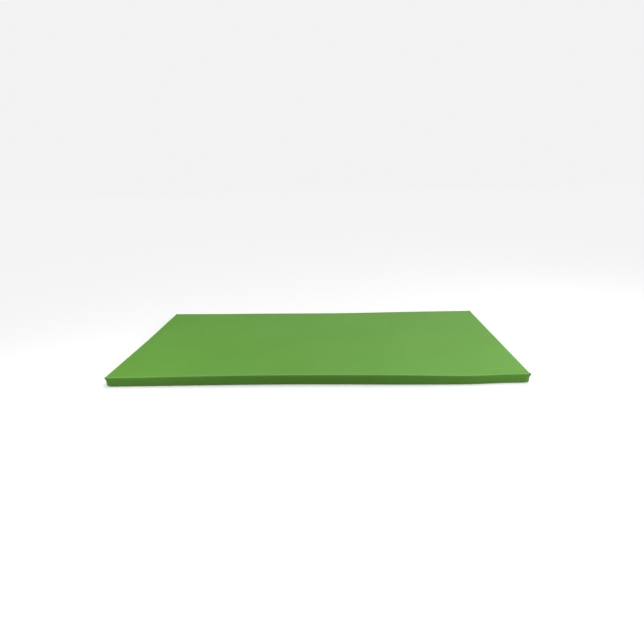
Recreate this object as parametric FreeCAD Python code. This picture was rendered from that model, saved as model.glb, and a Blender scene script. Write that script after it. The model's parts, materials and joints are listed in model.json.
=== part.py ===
"""One-piece gymnastics floor mat: a slab of closed-cell foam in a sewn cover of coated fabric.

The cover is a top and a bottom panel joined by bands round the four sides. The right end opens
with a coil zip, so that the foam can be taken out, and the back side has two carrying straps.

Units are millimetres. X runs along the length, Y from the plain front side to the back side with
the straps, and Z up. The origin is on the floor, under the middle of the mat.
"""

import FreeCAD, Part
import math
import os

V = FreeCAD.Vector
X_AXIS, Y_AXIS, Z_AXIS = V(1, 0, 0), V(0, 1, 0), V(0, 0, 1)

# ---- driving dimensions -------------------------------------------------------------------------

# The mat over its side bands.
mat_length = 2400.0
mat_width = 1200.0

# Foam core: sheets laid on each other.
core_sheet_thickness = 25.0
core_side_ease = 1.0  # between the foam and the seam allowance, at the long sides
core_end_ease = 3.6  # the same at the ends, where the zip's slider needs room

# Coated fabric of the cover.
fabric_thickness = 0.7

# Sewing thread, as a cord that stands proud of the fabric.
thread_width = 0.8
thread_height = 0.4
edge_row_inset = 5.0  # from the mat's top or bottom face to the row on the bands
corner_row_inset = 5.0  # from a corner to the upright row beside it
hem_row_inset = 2.0  # from the edge of a zip band or end patch to its row

# Zip in the right end.
zip_end_patch_length = 40.0  # the plain patch at each end of the zip
zip_opening = 20.0  # between the two zip bands, where tape and coil show
tape_width = 14.0
tape_thickness = 0.6
tape_seam_clearance = 0.3  # from a tape's edge to the panel's seam allowance
tape_tuck = 10.0  # the tape's length behind each end patch
coil_width = 3.3
coil_height = 2.6
coil_gap = 1.4  # between the two coils
coil_end_gap = 4.0  # from an end patch to the coil's end
stop_length = 5.0
stop_wall = 0.8

# Zip slider.
slider_length = 18.0
slider_nose_width = 13.0
slider_tail_width = 11.0
slider_corner_radius = 2.0
slider_wall = 1.5
slider_back_plate = 1.2
slider_coil_clearance = 0.5
slider_tape_clearance = 0.3
slider_stop_clearance = 0.5
post_length = 4.0
post_inset = 1.0
post_clearance = 0.3  # each side, to the two coils

# Bridge on the slider and its pull tab.
bridge_length = 8.0
cheek_thickness = 1.2
pin_radius = 0.8
pin_clearance = 0.08
eye_wall = 0.8
eye_clearance = 0.3  # from the eye to the cheeks and to the slider
pull_length = 27.0
pull_width = 8.0
pull_thickness = 1.6
pull_neck_length = 6.0
pull_neck_width = 3.2
pull_hole_width = 4.0
pull_hole_length = 9.0
pull_hole_radius = 1.6
pull_hole_inset = 3.0

# Carrying straps on the back side.
strap_spacing = 1000.0  # between the middles of the two straps
strap_width = 25.0
strap_thickness = 2.2
strap_end_length = 42.0  # the flat end, sewn to its patch
strap_pivot_offset = 13.3  # from the patch to the line that the loop swings about
loop_span = 190.0
loop_rise = 36.0  # how far the loop's middle stands out from that line
loop_end_gap = 2.0  # along the mat, between the loop and a sewn end
loop_floor_clearance = 2.5  # under the slack loop, which hangs a little below level
grip_length = 110.0  # the sleeve round the loop's middle, along the strap
grip_wall = 1.2
patch_end_margin = 4.0  # the patch beyond the strap, at each end
patch_row_clearance = 1.0  # from the patch to the rows of thread above and below it
box_margin = 4.0  # the box stitching inside the strap's end

# ---- worked out from the driving dimensions -----------------------------------------------------

core_height = 2 * core_sheet_thickness
mat_height = core_height + 2 * fabric_thickness
half_length = mat_length / 2
half_width = mat_width / 2
mid_height = mat_height / 2
band_low = fabric_thickness
band_high = mat_height - fabric_thickness
core_length = mat_length - 4 * fabric_thickness - 2 * core_end_ease
core_width = mat_width - 4 * fabric_thickness - 2 * core_side_ease

zip_half = half_width - zip_end_patch_length
zip_low = mid_height - zip_opening / 2
zip_high = mid_height + zip_opening / 2
tape_face = half_length - fabric_thickness  # the tape's outer face, against the zip bands
tape_edge = coil_gap / 2 + tape_width  # from the zip's middle line
seam_allowance = core_height / 2 - tape_edge - tape_seam_clearance  # turned in behind the bands
coil_half = zip_half - coil_end_gap
coil_edge = coil_gap / 2 + coil_width  # from the zip's middle line
coil_top = tape_face + coil_height

slider_back = tape_face - tape_thickness - slider_tape_clearance
slider_under = coil_top + slider_coil_clearance
slider_top = slider_under + slider_wall
slider_stop = coil_half - stop_length - slider_stop_clearance  # where its nose parks
slider_middle = slider_stop - slider_length / 2
eye_radius = pin_radius + pin_clearance + eye_wall
pin_x = slider_top + eye_radius + eye_clearance
neck_half = pull_neck_width / 2
cheek_inner = neck_half + eye_clearance

patch_face = half_width + fabric_thickness
strap_face = patch_face + strap_thickness
pivot_y = patch_face + strap_pivot_offset
loop_half = loop_span / 2
loop_radius = (loop_half**2 + loop_rise**2) / (2 * loop_rise)
loop_slope = math.asin(loop_half / loop_radius)  # of the strap where the loop ends
grip_turn = grip_length / 2 / loop_radius
grip_reach = loop_rise + strap_thickness / 2 + grip_wall  # from the pivot line to its far face
grip_half = strap_width / 2 + grip_wall
loop_droop = math.atan2(grip_reach, grip_half) - math.acos(
    (mid_height - loop_floor_clearance) / math.hypot(grip_reach, grip_half)
)
patch_low = edge_row_inset + thread_width / 2 + patch_row_clearance
strap_places = {"left": -strap_spacing / 2, "right": strap_spacing / 2}


# ---- helpers ------------------------------------------------------------------------------------


def block(x0, x1, y0, y1, z0, z1):
    """A box between two corners."""
    return Part.makeBox(x1 - x0, y1 - y0, z1 - z0, V(x0, y0, z0))


def centred(length, width, z0, z1):
    """A box about the Z axis."""
    return block(-length / 2, length / 2, -width / 2, width / 2, z0, z1)


def upright_plate(outline, x0, x1):
    """A plate in the YZ plane: outline is a closed list of (y, z) points."""
    points = [V(x0, y, z) for y, z in outline]
    return Part.Face(Part.makePolygon(points + points[:1])).extrude(V(x1 - x0, 0, 0))


def rounded(shape, axis, radius):
    """The shape with the edges that run along an axis rounded."""
    edges = [e for e in shape.Edges if abs(abs(e.tangentAt(e.FirstParameter).dot(axis)) - 1) < 1e-6]
    return shape.makeFillet(radius, edges)


def group(shapes):
    """Separate solids that share one node."""
    return Part.makeCompound(shapes)


# ---- foam core ----------------------------------------------------------------------------------


def foam_sheet(level):
    """One of the two foam sheets: level 0 lies at the bottom."""
    low = fabric_thickness + level * core_sheet_thickness
    return centred(core_length, core_width, low, low + core_sheet_thickness)


# ---- cover --------------------------------------------------------------------------------------


def top_panel():
    """The sheet over the foam, with its seam allowance turned down behind the bands."""
    sheet = centred(mat_length, mat_width, band_high, mat_height)
    inside = 2 * fabric_thickness
    turned = centred(mat_length - inside, mat_width - inside, band_high - seam_allowance, band_high)
    hollow = centred(
        mat_length - 2 * inside, mat_width - 2 * inside, band_high - seam_allowance, band_high
    )
    return sheet.fuse(turned.cut(hollow)).removeSplitter()


def bottom_panel():
    """The same panel the other way up."""
    return top_panel().mirror(V(0, 0, mid_height), Z_AXIS)


def long_band(side):
    """The band along the front side (-1) or the back side (1)."""
    faces = sorted([side * half_width, side * (half_width - fabric_thickness)])
    return block(-half_length, half_length, *faces, band_low, band_high)


def left_end_band():
    inner = half_width - fabric_thickness
    return block(-half_length, -tape_face, -inner, inner, band_low, band_high)


def zip_band(z0, z1):
    """A strip of cover above or below the zip, in the right end."""
    return block(tape_face, half_length, -zip_half, zip_half, z0, z1)


def zip_end_patch(side):
    """The plain patch between the zip and the front side (-1) or the back side (1)."""
    ends = sorted([side * zip_half, side * (half_width - fabric_thickness)])
    return block(tape_face, half_length, *ends, band_low, band_high)


# ---- sewing -------------------------------------------------------------------------------------


def edge_row(z):
    """A row of thread round all four bands at height z."""
    z0, z1 = z - thread_width / 2, z + thread_width / 2
    outer = centred(mat_length + 2 * thread_height, mat_width + 2 * thread_height, z0, z1)
    return outer.cut(centred(mat_length, mat_width, z0, z1))


def upright_row(x, y):
    """A row between the two edge rows, on an end face of the mat at position y."""
    low = edge_row_inset + thread_width / 2
    faces = sorted([x, x + math.copysign(thread_height, x)])
    return block(*faces, y - thread_width / 2, y + thread_width / 2, low, mat_height - low)


def corner_rows():
    """Upright rows beside the four corners, and one along each zip end patch's inner edge."""
    corner = half_width - corner_row_inset
    rows = [upright_row(x, y) for x in (-half_length, half_length) for y in (-corner, corner)]
    patch_edge = zip_half + hem_row_inset
    rows += [upright_row(half_length, y) for y in (-patch_edge, patch_edge)]
    return group(rows)


def zip_rows():
    """The two rows that hold the zip bands to the tapes."""
    rows = []
    for z in (zip_low - hem_row_inset, zip_high + hem_row_inset):
        z0, z1 = z - thread_width / 2, z + thread_width / 2
        rows.append(block(half_length, half_length + thread_height, -zip_half, zip_half, z0, z1))
    return group(rows)


# ---- zip ----------------------------------------------------------------------------------------


def zip_tape(side):
    """The upper (1) or lower (-1) tape, behind its zip band."""
    levels = sorted([mid_height + side * coil_gap / 2, mid_height + side * tape_edge])
    reach = zip_half + tape_tuck
    return block(tape_face - tape_thickness, tape_face, -reach, reach, *levels)


def zip_coil(side):
    """The upper or lower row of nylon coil, as one closed bar."""
    levels = sorted([mid_height + side * coil_gap / 2, mid_height + side * coil_edge])
    return block(tape_face, coil_top, -coil_half, coil_half, *levels)


def stop_staple(end, low, high):
    """A crimped stop over the coil: end is -1 or 1 along Y, low and high are its sides in Z."""
    ends = sorted([end * coil_half, end * (coil_half - stop_length)])
    return block(tape_face, coil_top + stop_wall, *ends, low, high)


def zip_top_stops():
    """Two stops at the closed end, one on each coil."""
    stops = []
    for side in (-1, 1):
        levels = sorted(
            [mid_height + side * coil_gap / 2, mid_height + side * (coil_edge + stop_wall)]
        )
        stops.append(stop_staple(1, *levels).cut(zip_coil(side)))
    return group(stops)


def zip_bottom_stop():
    """One stop across both coils at the far end."""
    reach = coil_edge + stop_wall
    staple = stop_staple(-1, mid_height - reach, mid_height + reach)
    covered = block(
        tape_face, coil_top, -half_width, half_width, mid_height - coil_edge, mid_height + coil_edge
    )
    return staple.cut(covered)


def slider_outline():
    """The slider seen from outside: wide at the nose, towards the stops, and narrower at the tail."""
    nose = slider_middle + slider_length / 2
    tail = slider_middle - slider_length / 2
    half = [
        (tail, slider_tail_width / 2),
        (slider_middle, slider_tail_width / 2),
        (nose, slider_nose_width / 2),
    ]
    return [(y, mid_height + z) for y, z in half] + [(y, mid_height - z) for y, z in half[::-1]]


def zip_slider():
    """Front plate with rims over the coils, back plate behind the tapes, and a post between them.

    On the front plate two cheeks hold the pin that the pull tab hangs on.
    """
    outline = slider_outline()
    front = rounded(upright_plate(outline, slider_under, slider_top), X_AXIS, slider_corner_radius)
    back = rounded(
        upright_plate(outline, slider_back - slider_back_plate, slider_back),
        X_AXIS,
        slider_corner_radius,
    )
    rim_foot = tape_face + slider_tape_clearance
    shell = rounded(upright_plate(outline, rim_foot, slider_under), X_AXIS, slider_corner_radius)
    channel = coil_edge + slider_coil_clearance
    for_coils = block(
        rim_foot,
        slider_under,
        -half_width,
        half_width,
        mid_height - channel,
        mid_height + channel,
    )
    rims = shell.cut(for_coils)
    post_half = coil_gap / 2 - post_clearance
    post_end = slider_middle + slider_length / 2 - post_inset
    post = block(
        slider_back,
        slider_under,
        post_end - post_length,
        post_end,
        mid_height - post_half,
        mid_height + post_half,
    )
    cheek = block(
        slider_top,
        pin_x + pin_radius + pin_clearance,
        slider_middle - bridge_length / 2,
        slider_middle + bridge_length / 2,
        mid_height + cheek_inner,
        mid_height + cheek_inner + cheek_thickness,
    )
    crown = [
        e
        for e in cheek.Edges
        if abs(e.tangentAt(e.FirstParameter).z) > 0.9 and e.CenterOfMass.x > pin_x
    ]
    cheek = cheek.makeFillet(pin_radius, crown)
    pin_length = 2 * (cheek_inner + cheek_thickness)
    pin = Part.makeCylinder(
        pin_radius, pin_length, V(pin_x, slider_middle, mid_height - pin_length / 2), Z_AXIS
    )
    pieces = [back, rims, post, cheek, cheek.mirror(V(0, 0, mid_height), Z_AXIS), pin]
    return front.fuse(pieces).removeSplitter()


def zip_pull_tab():
    """The tab hangs on the slider's pin by an eye and lies back over the closed zip, towards -Y."""
    low, high = mid_height - neck_half, mid_height + neck_half
    eye = Part.makeCylinder(eye_radius, high - low, V(pin_x, slider_middle, low), Z_AXIS)
    x0, x1 = pin_x - pull_thickness / 2, pin_x + pull_thickness / 2
    neck_end = slider_middle - pull_neck_length
    neck = block(x0, x1, neck_end, slider_middle, low, high)
    tip = slider_middle - pull_length
    plate = block(
        x0, x1, tip, neck_end, mid_height - pull_width / 2, mid_height + pull_width / 2
    )
    plate = rounded(plate, X_AXIS, (pull_width - pull_neck_width) / 2)
    hole = block(
        x0,
        x1,
        tip + pull_hole_inset,
        tip + pull_hole_inset + pull_hole_length,
        mid_height - pull_hole_width / 2,
        mid_height + pull_hole_width / 2,
    )
    hole = rounded(hole, X_AXIS, pull_hole_radius)
    bore = Part.makeCylinder(
        pin_radius + pin_clearance, high - low, V(pin_x, slider_middle, low), Z_AXIS
    )
    return eye.fuse([neck, plate]).cut(hole).cut(bore).removeSplitter()


# ---- carrying straps ----------------------------------------------------------------------------


def strap_foot():
    """How far a sewn end's slope reaches along the mat, from the loop's end to the flat part."""
    return (strap_pivot_offset - strap_thickness / 2) / math.tan(loop_slope)


def strap_patch(middle):
    """The patch of cover fabric that spreads the strap's pull over the band."""
    reach = loop_half + strap_foot() + strap_end_length + patch_end_margin
    high = mat_height - patch_low
    return block(middle - reach, middle + reach, half_width, patch_face, patch_low, high)


def strap_end(middle, side):
    """A sewn strap end: flat on the patch, then sloping out towards the loop."""
    foot = loop_half + strap_foot()
    tail = foot + strap_end_length
    tip = loop_half + loop_end_gap
    rise = (foot - tip) * math.tan(loop_slope)
    mitre = strap_thickness / 2 * math.tan(loop_slope / 2)
    along, out = math.sin(loop_slope) * strap_thickness / 2, math.cos(loop_slope) * strap_thickness / 2
    line = patch_face + strap_thickness / 2
    outline = [
        (tail, patch_face),
        (foot - mitre, patch_face),
        (tip - along, line + rise - out),
        (tip + along, line + rise + out),
        (foot + mitre, strap_face),
        (tail, strap_face),
    ]
    low = mid_height - strap_width / 2
    points = [V(middle + side * x, y, low) for x, y in outline]
    return Part.Face(Part.makePolygon(points + points[:1])).extrude(V(0, 0, strap_width))


def loop_arc(middle, inner, outer, height, half_turn):
    """A curved bar of the loop, between two radii and two turns, drooping with the loop."""
    centre_y = pivot_y + loop_rise - loop_radius
    low = mid_height - height / 2

    def on_arc(radius, turn):
        return V(middle + radius * math.sin(turn), centre_y + radius * math.cos(turn), low)

    turns = (-half_turn, 0, half_turn)
    near, far = [Part.Arc(*[on_arc(r, t) for t in turns]).toShape() for r in (inner, outer)]
    left, right = [Part.makeLine(on_arc(inner, t), on_arc(outer, t)) for t in (-half_turn, half_turn)]
    bar = Part.Face(Part.Wire([near, right, far, left])).extrude(V(0, 0, height))
    bar.rotate(V(middle, pivot_y, mid_height), X_AXIS, -math.degrees(loop_droop))
    return bar


def strap_loop(middle):
    """The free part of the strap, an arc that hangs a little below level."""
    inner, outer = loop_radius - strap_thickness / 2, loop_radius + strap_thickness / 2
    return loop_arc(middle, inner, outer, strap_width, loop_slope)


def strap_grip(middle):
    """The sleeve of cover fabric sewn round the loop's middle."""
    inner = loop_radius - strap_thickness / 2 - grip_wall
    outer = loop_radius + strap_thickness / 2 + grip_wall
    sleeve = loop_arc(middle, inner, outer, 2 * grip_half, grip_turn)
    return sleeve.cut(strap_loop(middle))


def box_stitch(middle, side):
    """A square of thread with a cross in it, on a sewn strap end."""
    foot = loop_half + strap_foot()
    x0, x1 = foot + box_margin, foot + strap_end_length - box_margin
    half = strap_width / 2 - box_margin
    low, high = mid_height - half, mid_height + half
    w = thread_width
    frame = block(x0, x1, strap_face, strap_face + thread_height, low, high).cut(
        block(x0 + w, x1 - w, strap_face, strap_face + thread_height, low + w, high - w)
    )
    length = math.hypot(x1 - x0 - w, high - low - w)
    lean = math.degrees(math.atan2(high - low - w, x1 - x0 - w))
    centre = V((x0 + x1) / 2, strap_face + thread_height / 2, mid_height)
    bars = []
    for turn in (lean, -lean):
        bar = block(-length / 2, length / 2, -thread_height / 2, thread_height / 2, -w / 2, w / 2)
        bar.rotate(V(0, 0, 0), Y_AXIS, turn)
        bar.translate(centre)
        bars.append(bar)
    box = frame.fuse(bars).removeSplitter()
    if side < 0:
        box = box.mirror(V(0, 0, 0), X_AXIS)
    box.translate(V(middle, 0, 0))
    return box


# ---- write the nodes ----------------------------------------------------------------------------


def nodes():
    made = {
        "foam_core_lower": foam_sheet(0),
        "foam_core_upper": foam_sheet(1),
        "top_panel": top_panel(),
        "bottom_panel": bottom_panel(),
        "front_side_band": long_band(-1),
        "back_side_band": long_band(1),
        "left_end_band": left_end_band(),
        "zip_band_upper": zip_band(zip_high, band_high),
        "zip_band_lower": zip_band(band_low, zip_low),
        "zip_end_patch_front": zip_end_patch(-1),
        "zip_end_patch_back": zip_end_patch(1),
        "zip_tape_upper": zip_tape(1),
        "zip_tape_lower": zip_tape(-1),
        "zip_coil_upper": zip_coil(1),
        "zip_coil_lower": zip_coil(-1),
        "zip_top_stops": zip_top_stops(),
        "zip_bottom_stop": zip_bottom_stop(),
        "zip_slider": zip_slider(),
        "zip_pull_tab": zip_pull_tab(),
        "edge_stitching_top": edge_row(mat_height - edge_row_inset),
        "edge_stitching_bottom": edge_row(edge_row_inset),
        "corner_stitching": corner_rows(),
        "zip_stitching": zip_rows(),
        "strap_box_stitching": group(
            [box_stitch(middle, side) for middle in strap_places.values() for side in (-1, 1)]
        ),
    }
    for name, middle in strap_places.items():
        made[f"{name}_strap_patch"] = strap_patch(middle)
        made[f"{name}_strap_sewn_ends"] = group([strap_end(middle, side) for side in (-1, 1)])
        made[f"{name}_strap_loop"] = strap_loop(middle)
        made[f"{name}_strap_grip"] = strap_grip(middle)
    return made


os.makedirs("parts", exist_ok=True)
for node, shape in nodes().items():
    shape.exportStep(f"parts/{node}.step")
    box = shape.BoundBox
    print(
        f"{node}: valid {shape.isValid()}, {len(shape.Solids)} solids, {shape.Volume:.0f} mm3,"
        f" x {box.XMin:.2f} {box.XMax:.2f}, y {box.YMin:.2f} {box.YMax:.2f},"
        f" z {box.ZMin:.2f} {box.ZMax:.2f}"
    )
print(f"pull tab's pin at x {pin_x:.3f}, y {slider_middle:.3f}, z {mid_height:.3f}")
print(f"slider travel {2 * slider_middle:.3f}")
print(f"strap pivot line at y {pivot_y:.3f}, droop {math.degrees(loop_droop):.2f} degrees")
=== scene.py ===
"""A one-piece gymnastics floor mat, shown on a pale studio floor.

A slab of closed-cell foam fills a sewn cover of green coated fabric. The right end opens with a
coil zip, and the back side has two webbing straps to carry the mat by. Sizes are in metres, in the
frame of the CAD model: X along the length, Y from the front side to the back, Z up from the floor.
"""

import json
import math

import bpy
import numpy as np
from mathutils import Matrix, Vector


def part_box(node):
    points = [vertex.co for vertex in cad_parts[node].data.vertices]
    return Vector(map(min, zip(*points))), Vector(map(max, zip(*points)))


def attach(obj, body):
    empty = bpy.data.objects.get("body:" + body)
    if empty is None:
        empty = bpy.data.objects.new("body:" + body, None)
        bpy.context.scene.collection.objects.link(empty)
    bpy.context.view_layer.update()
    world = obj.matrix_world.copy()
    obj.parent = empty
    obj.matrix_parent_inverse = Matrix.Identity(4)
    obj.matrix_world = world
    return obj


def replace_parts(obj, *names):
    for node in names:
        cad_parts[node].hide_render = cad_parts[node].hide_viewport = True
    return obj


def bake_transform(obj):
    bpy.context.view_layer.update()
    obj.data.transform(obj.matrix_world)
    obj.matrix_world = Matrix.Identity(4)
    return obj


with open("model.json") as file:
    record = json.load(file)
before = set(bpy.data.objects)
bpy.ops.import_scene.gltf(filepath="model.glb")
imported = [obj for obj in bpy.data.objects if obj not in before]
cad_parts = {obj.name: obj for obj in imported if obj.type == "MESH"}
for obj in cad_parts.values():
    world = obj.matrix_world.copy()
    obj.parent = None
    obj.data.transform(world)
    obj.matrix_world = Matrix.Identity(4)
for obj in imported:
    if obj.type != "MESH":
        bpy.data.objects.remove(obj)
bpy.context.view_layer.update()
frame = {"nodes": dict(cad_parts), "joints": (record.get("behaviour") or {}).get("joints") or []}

# ---- camera -------------------------------------------------------------------------------------
# A wide lens stands in front of the mat's long side, a little right of its middle and just above
# waist height, so the top is seen at a low angle and the front side as a narrow band.

lens_mm, sensor_mm = 24.6, 36.0
camera_place = (0.1476, -2.8402, 1.1229)
camera_turn = math.radians(2.43)  # to the left
camera_tilt = math.radians(18.51)  # downwards
camera_roll = math.radians(-1.48)

bpy.ops.object.camera_add(location=camera_place)
camera = bpy.context.object
camera.data.lens = lens_mm
camera.data.sensor_width = sensor_mm
camera.rotation_euler = (
    Matrix.Rotation(camera_turn, 3, "Z")
    @ Matrix.Rotation(math.pi / 2 - camera_tilt, 3, "X")
    @ Matrix.Rotation(camera_roll, 3, "Z")
).to_euler()
bpy.context.scene.camera = camera

# ---- studio -------------------------------------------------------------------------------------
# A wide pale floor under a broad overhead light, with a softbox to the right. Two small low ones in
# front, left and right, leave the middle of the front side its darkest part.

floor_size = 60.0
floor_tone = 0.49
backdrop_tone = 0.89
ambient_light = 0.16
overhead_strength = 5.6
overhead_spread = math.radians(80)
overhead_lean = (math.radians(-16), math.radians(12), 0)

bpy.context.scene.view_settings.view_transform = "Standard"


def new_material(name):
    """A material with its nodes, their links, and the inputs of its shader."""
    material = bpy.data.materials.new(name)
    material.use_nodes = True
    nodes, links = material.node_tree.nodes, material.node_tree.links
    return material, nodes, links, nodes["Principled BSDF"].inputs


bpy.ops.mesh.primitive_plane_add(size=floor_size)
floor = bpy.context.object
floor.name = "studio_floor"
paper, _, _, paper_skin = new_material("studio_paper")
paper_skin["Base Color"].default_value = (floor_tone, floor_tone, floor_tone, 1)
paper_skin["Roughness"].default_value = 0.9
paper_skin["Specular IOR Level"].default_value = 0.0
floor.data.materials.append(paper)

world = bpy.data.worlds.new("studio_air")
bpy.context.scene.world = world
world.use_nodes = True
air = world.node_tree.nodes
backdrop = air["Background"]
backdrop.inputs["Color"].default_value = (1, 1, 1, 1)
backdrop.inputs["Strength"].default_value = backdrop_tone
ambient = air.new("ShaderNodeBackground")
ambient.inputs["Color"].default_value = (1, 1, 1, 1)
ambient.inputs["Strength"].default_value = ambient_light
seen_directly = air.new("ShaderNodeLightPath")
air_mix = air.new("ShaderNodeMixShader")
world.node_tree.links.new(seen_directly.outputs["Is Camera Ray"], air_mix.inputs[0])
world.node_tree.links.new(ambient.outputs[0], air_mix.inputs[1])
world.node_tree.links.new(backdrop.outputs[0], air_mix.inputs[2])
world.node_tree.links.new(air_mix.outputs[0], air["World Output"].inputs["Surface"])

bpy.ops.object.light_add(type="SUN", rotation=overhead_lean)
overhead = bpy.context.object
overhead.data.energy = overhead_strength
overhead.data.angle = overhead_spread


def softbox(name, place, aim, size, watts):
    """A square studio light at a place, turned towards a point."""
    bpy.ops.object.light_add(type="AREA", location=place)
    box = bpy.context.object
    box.name = name
    box.data.size = size
    box.data.energy = watts
    away = box.location - Vector(aim)
    box.rotation_euler = away.to_track_quat("Z", "Y").to_euler()


softbox("softbox_right", (2.7, -1.2, 1.5), aim=(0.9, -0.2, 0), size=1.4, watts=45)
softbox("softbox_low_right", (1.9, -1.5, 0.5), aim=(1.1, -0.6, 0), size=0.5, watts=7)
softbox("softbox_low_left", (-1.5, -1.3, 0.9), aim=(-1.0, -0.6, 0), size=0.5, watts=9)

# ---- cover --------------------------------------------------------------------------------------
# The cover is cut from one green coated fabric: a top and a bottom panel, and bands round the
# sides. It is sewn inside out and turned, so every edge is a soft fold with its seam in a shallow
# groove, and the fabric puckers a little beside the thread.

fabric = 0.0007  # thickness
cloth_step = 0.015  # between the points of a panel
edge_radius, edge_steps = 0.0028, 4
half_row = 0.0004  # half the width of the raised line that stands for a row of stitches in the CAD
stitch_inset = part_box("edge_stitching_bottom")[0].z + half_row  # of the rows round the bands
beside_stitches = 0.0016
window = (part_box("zip_band_lower")[1].z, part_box("zip_band_upper")[0].z)  # that the zip shows in

half_length, half_width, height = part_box("top_panel")[1]
length, width = half_length * 2, half_width * 2
seam_inset = edge_radius * (1 - math.sqrt(0.5))  # of the seams, in the middle of the rounded edges
stitch_levels = (stitch_inset, stitch_inset + beside_stitches)
band_levels = (*stitch_levels, window[0], height / 2, window[1])
band_levels += tuple(height - level for level in reversed(stitch_levels))


def smooth(low, high, values):
    """0 below low, 1 above high, and a smooth step between them."""
    t = np.clip((values - low) / (high - low), 0, 1)
    return t * t * (3 - 2 * t)


def hump(offset, width_of_hump):
    """1 where there is no offset, falling smoothly to nearly 0 at twice the hump's width."""
    return np.exp(-((offset / width_of_hump) ** 2))


def points_of(piece):
    """The piece's points, as rows of x, y, z."""
    points = np.empty(len(piece.data.vertices) * 3)
    piece.data.vertices.foreach_get("co", points)
    return points.reshape(-1, 3)


def moved(piece, move):
    """Passes the piece's points through a function."""
    piece.data.vertices.foreach_set("co", move(points_of(piece)).ravel())
    piece.data.update()


def lain(points):
    """The slack of a soft slab on a floor: its long edges wander, and its top dips slightly.

    The end with the zip lies true.
    """
    front_wander, wander_length = 0.007, 2.1
    front_tuck = 0.006  # near the zip end
    foot_spread = 0.003  # of the front side
    front_rise, middle_rise, back_corner_rise = 0.0040, 0.0030, 0.0040
    back_hollow, back_dip = 0.006, 0.0035
    front_skew, back_skew = 0.0025, 0.0060  # of the left end

    x, y, z = points.T
    level = np.clip(z / height, 0, 1)
    to_front = smooth(-0.1, 1.0, -y / half_width)
    to_back = smooth(-0.1, 1.0, y / half_width)
    true_end = 1 - smooth(0.80, 1.12, x)
    left_end = 1 - smooth(-1.2, -0.7, x)
    hollow = hump(x - 0.15, 0.5)
    wander = front_wander * np.sin(2 * math.pi * (x + 0.75) / wander_length)

    out = points.copy()
    out[:, 0] += (front_skew * to_front - back_skew * to_back) * left_end
    out[:, 1] += (wander - foot_spread * (1 - level)) * to_front * true_end
    out[:, 1] += front_tuck * smooth(0.85, 1.15, x) * smooth(0.565, 0.595, -y)
    out[:, 1] -= back_hollow * hollow * to_back
    rise = front_rise * (1 - smooth(0.35, 0.95, x)) * to_front * true_end
    rise += middle_rise * smooth(-1.15, -0.45, x) * (1 - smooth(0.50, 1.00, x)) * to_front
    rise += (back_corner_rise * left_end - back_dip * hollow) * to_back
    out[:, 2] += rise * level
    return out


def ripple(along):
    """Uneven waves along a seam, about 3 cm from crest to crest, between -1 and 1."""
    beat = 0.62 + 0.38 * np.sin(2 * math.pi * along / 0.41 + 1.0)
    return beat * np.sin(2 * math.pi * along / 0.031 + 2.2 * np.sin(2 * math.pi * along / 0.173))


def inside_faces(points):
    """How far inside each pair of the cover's faces a point lies, and the nearer one's side."""
    place = points - np.array([0, 0, height / 2])
    return np.array([half_length, half_width, height / 2]) - np.abs(place), np.sign(place)


def sewn(points):
    """How the seams draw the cover in: bulged bands, grooves, puckers, and ears at the corners."""
    bulge_height = 0.0009
    loose_height = 0.0035  # of the front right corner, off the foam
    groove_depth, groove_width = 0.0009, 0.0011
    shoulder_height, shoulder_place, shoulder_width = 0.0004, 0.0030, 0.0014
    pucker_height, pucker_reach, flat_by_seam = 0.00045, 0.011, 0.0025
    other_side = 0.37  # along the ripple, so that no two sides pucker alike
    thread_depth, thread_width = 0.0003, 0.0008
    face_depth = 0.0025  # a point nearer than this to a side lies on it
    zip_end_depth = 0.003

    x, y, z = points.T
    out = points.copy()
    near_side = np.abs(y) - half_width
    near_end = np.abs(x) - half_length
    bulge = bulge_height * np.sin(math.pi * np.clip(z / height, 0, 1))
    on_long_side = smooth(-0.003, 0, near_side) - smooth(0.003, 0.013, near_side)
    out[:, 1] += np.sign(y) * bulge * on_long_side
    out[:, 0] -= bulge * smooth(-0.003, 0, near_end) * (x < 0)
    loose = smooth(0.80, 1.15, x) * smooth(0.55, 0.60, -y)
    out[:, 2] += loose_height * loose * z / height

    # A seam runs along one axis, where the faces across the other two meet.
    inward, outside = inside_faces(points)
    for first, second, along in ((1, 2, 0), (0, 2, 1), (0, 1, 2)):
        off = np.hypot(inward[:, first] - seam_inset, inward[:, second] - seam_inset)
        groove = groove_depth * hump(off, groove_width)
        shoulder = shoulder_height * hump(off - shoulder_place, shoulder_width)
        pull = (groove - shoulder) * math.sqrt(0.5)
        out[:, first] -= outside[:, first] * pull
        out[:, second] -= outside[:, second] * pull
        if along == 2:
            continue
        reach = np.exp(-off / pucker_reach) * (1 - hump(off, flat_by_seam))
        pucker = pucker_height * reach * ripple(points[:, along] + other_side * first)
        on_side = inward[:, first] < face_depth
        off_zip_end = ~on_side | (x < half_length - zip_end_depth)
        out[:, 2] += outside[:, 2] * pucker * ~on_side
        out[:, first] += outside[:, first] * pucker * on_side * off_zip_end
        drawn_in = hump(inward[:, 2] - stitch_inset, thread_width) * on_side
        out[:, first] -= outside[:, first] * thread_depth * drawn_in
    return out + corner_shape(points)


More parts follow.
